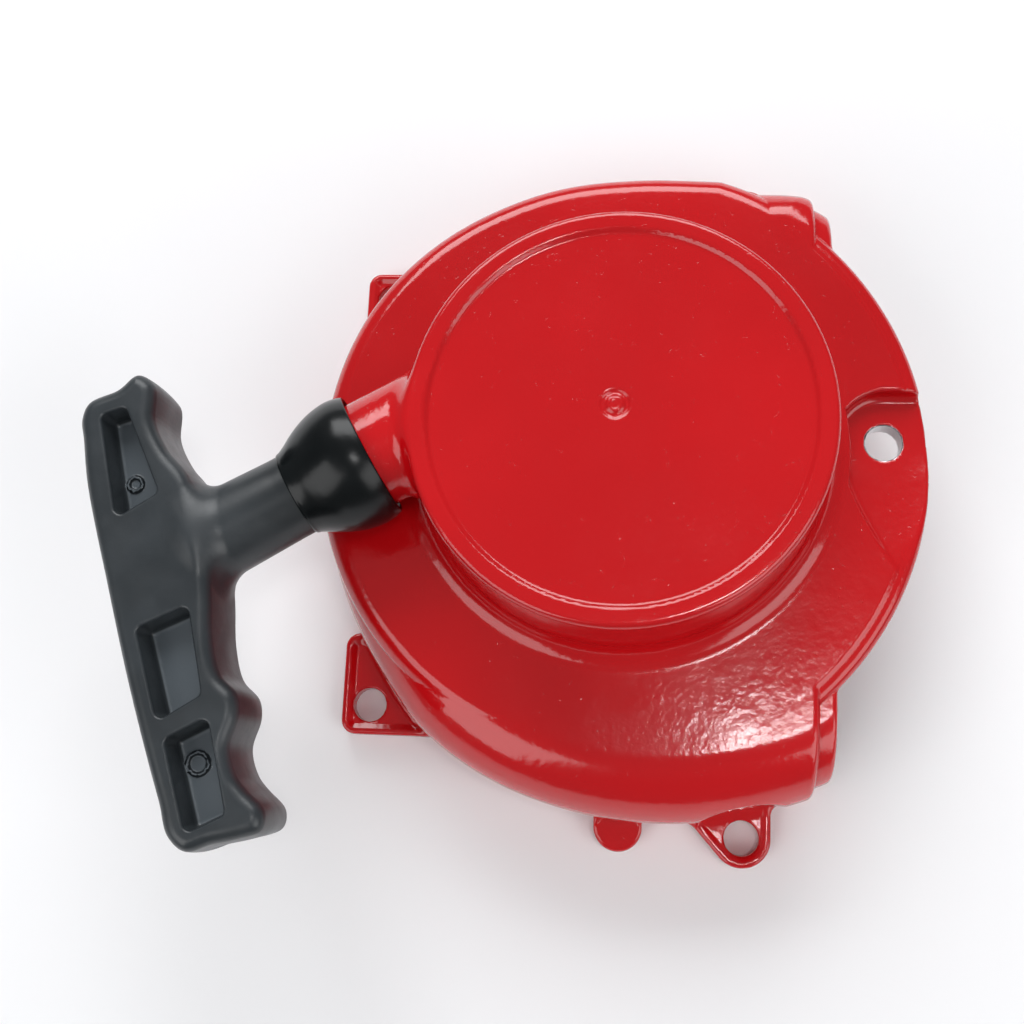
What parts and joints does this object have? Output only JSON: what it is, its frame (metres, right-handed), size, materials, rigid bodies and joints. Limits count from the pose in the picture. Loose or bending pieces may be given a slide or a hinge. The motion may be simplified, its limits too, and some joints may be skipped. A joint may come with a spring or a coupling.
{
  "type": "recoil starter",
  "caption": "Hand pull starter for a small engine: round die-cast cover with a rope reel, spiral return spring, pawls and a T handle on a rope.",
  "frame": {"origin": "on the drum's axis, in the plane of the mounting ears' undersides", "axes": "+Z along the drum's axis, away from the engine; the bolt ears' straight sides and the open side's cut lie along Y, and the open side faces +X"},
  "size_m": [0.1567, 0.1465, 0.059],
  "materials": {
    "red_coat": "glossy red coating over die-cast aluminium",
    "grip_plastic": "satin black moulded plastic",
    "cup_rubber": "smooth glossy black rubber",
    "rope": "braided polyester",
    "reel_nylon": "moulded nylon",
    "steel": "machined steel",
    "spring_steel": "blued spring strip",
    "zinc_plate": "zinc-plated steel",
    "bronze": "sintered bronze"
  },
  "bodies": {
    "cover": {"housing": "red_coat", "rope_guide_bush": "steel", "recoil_spring": "spring_steel", "screw_washer": "zinc_plate", "centre_screw": "zinc_plate", "friction_spring": "spring_steel", "pull_rope": "rope"},
    "rope_reel": {"reel": "reel_nylon", "reel_bush": "bronze", "rope_winding": "rope", "reel_knot": "rope", "spring_cover": "zinc_plate", "pawl_pin_1": "steel", "pawl_pin_2": "steel", "pawl_spring_1": "spring_steel", "pawl_spring_2": "spring_steel", "thrust_washer": "bronze"},
    "pawl_a": {"pawl_1": "steel"},
    "pawl_b": {"pawl_2": "steel"},
    "cam": {"cam_plate": "zinc_plate"},
    "handle": {"handle_grip": "grip_plastic", "handle_cup": "cup_rubber", "handle_washer": "steel", "handle_knot": "rope"}
  },
  "joints": [
    {"name": "handle_pull", "type": "slide", "parent": "cover", "child": "handle", "axis": [-0.866, -0.5, 0], "range_m": [0, 0.5], "stiffness_N_per_m": 12, "springref_m": -0.6, "deforming": ["pull_rope", "recoil_spring"]},
    {"name": "reel_spin", "type": "hinge", "parent": "cover", "child": "rope_reel", "pos_m": [0, 0, 0.0465], "axis": [0, 0, 1], "range_deg": [0, 1010]},
    {"name": "cam_turn", "type": "hinge", "parent": "rope_reel", "child": "cam", "pos_m": [0, 0, 0.0325], "axis": [0, 0, 1], "range_deg": [-30, 0]},
    {"name": "pawl_a_swing", "type": "hinge", "parent": "rope_reel", "child": "pawl_a", "pos_m": [0.018, 0, 0.0375], "axis": [0, 0, 1], "range_deg": [-45, 0]},
    {"name": "pawl_b_swing", "type": "hinge", "parent": "rope_reel", "child": "pawl_b", "pos_m": [-0.018, 0, 0.0375], "axis": [0, 0, 1], "range_deg": [-45, 0]}
  ],
  "couplings": [
    {"joint": "reel_spin", "follows": "handle_pull", "rad_per_m": 34.9},
    {"joint": "pawl_a_swing", "follows": "cam_turn", "ratio": 1.5},
    {"joint": "pawl_b_swing", "follows": "cam_turn", "ratio": 1.5}
  ]
}
